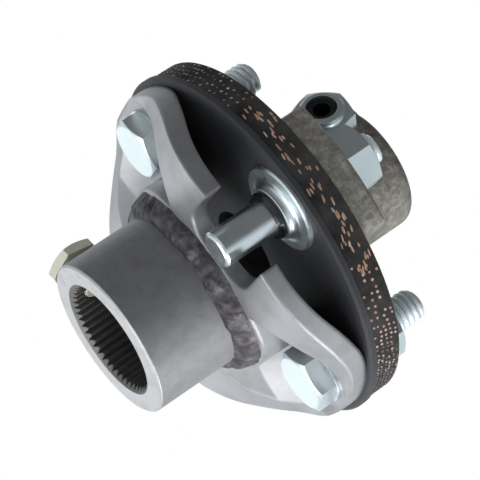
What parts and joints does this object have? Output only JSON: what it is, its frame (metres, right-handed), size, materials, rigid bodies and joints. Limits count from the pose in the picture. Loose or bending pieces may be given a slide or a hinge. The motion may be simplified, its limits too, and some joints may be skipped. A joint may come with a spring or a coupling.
{
  "type": "steering rag joint",
  "caption": "Flexible steering coupling: splined column hub welded to an arched flange, bolted through a cord-reinforced rubber disc to a cast box coupler.",
  "frame": {"origin": "on the joint axis at the free end face of the box coupler, on which the part stands", "axes": "+Z along the joint axis from the box coupler to the column hub; X through the flange bolts; Y through the stop pins"},
  "size_m": [0.0822, 0.0822, 0.0717],
  "materials": {
    "hub_steel": "matte turned steel",
    "flange_steel": "satin pressed steel",
    "weld": "rough weld bead",
    "zinc": "bright zinc plate",
    "zinc_yellow": "yellowed zinc plate",
    "rag": "laminated rubber and cord",
    "ring": "gloss rubber",
    "iron": "rough cast",
    "black_steel": "black oxide"
  },
  "bodies": {
    "root": {"column_hub": "hub_steel", "hub_weld": "weld", "column_flange": "flange_steel", "hub_set_bolt": "zinc_yellow", "rag_disc": "rag", "box_coupler": "iron", "coupler_set_screw": "black_steel", "coupler_lock_nut": "zinc", "flange_bolt_1": "zinc", "front_washer_1": "zinc", "rear_washer_1": "zinc", "flange_nut_1": "zinc", "stop_pin_1": "zinc", "pin_washer_1": "zinc", "pin_ring_1": "ring", "pin_nut_1": "zinc", "flange_bolt_2": "zinc", "front_washer_2": "zinc", "rear_washer_2": "zinc", "flange_nut_2": "zinc", "stop_pin_2": "zinc", "pin_washer_2": "zinc", "pin_ring_2": "ring", "pin_nut_2": "zinc"}
  },
  "joints": []
}
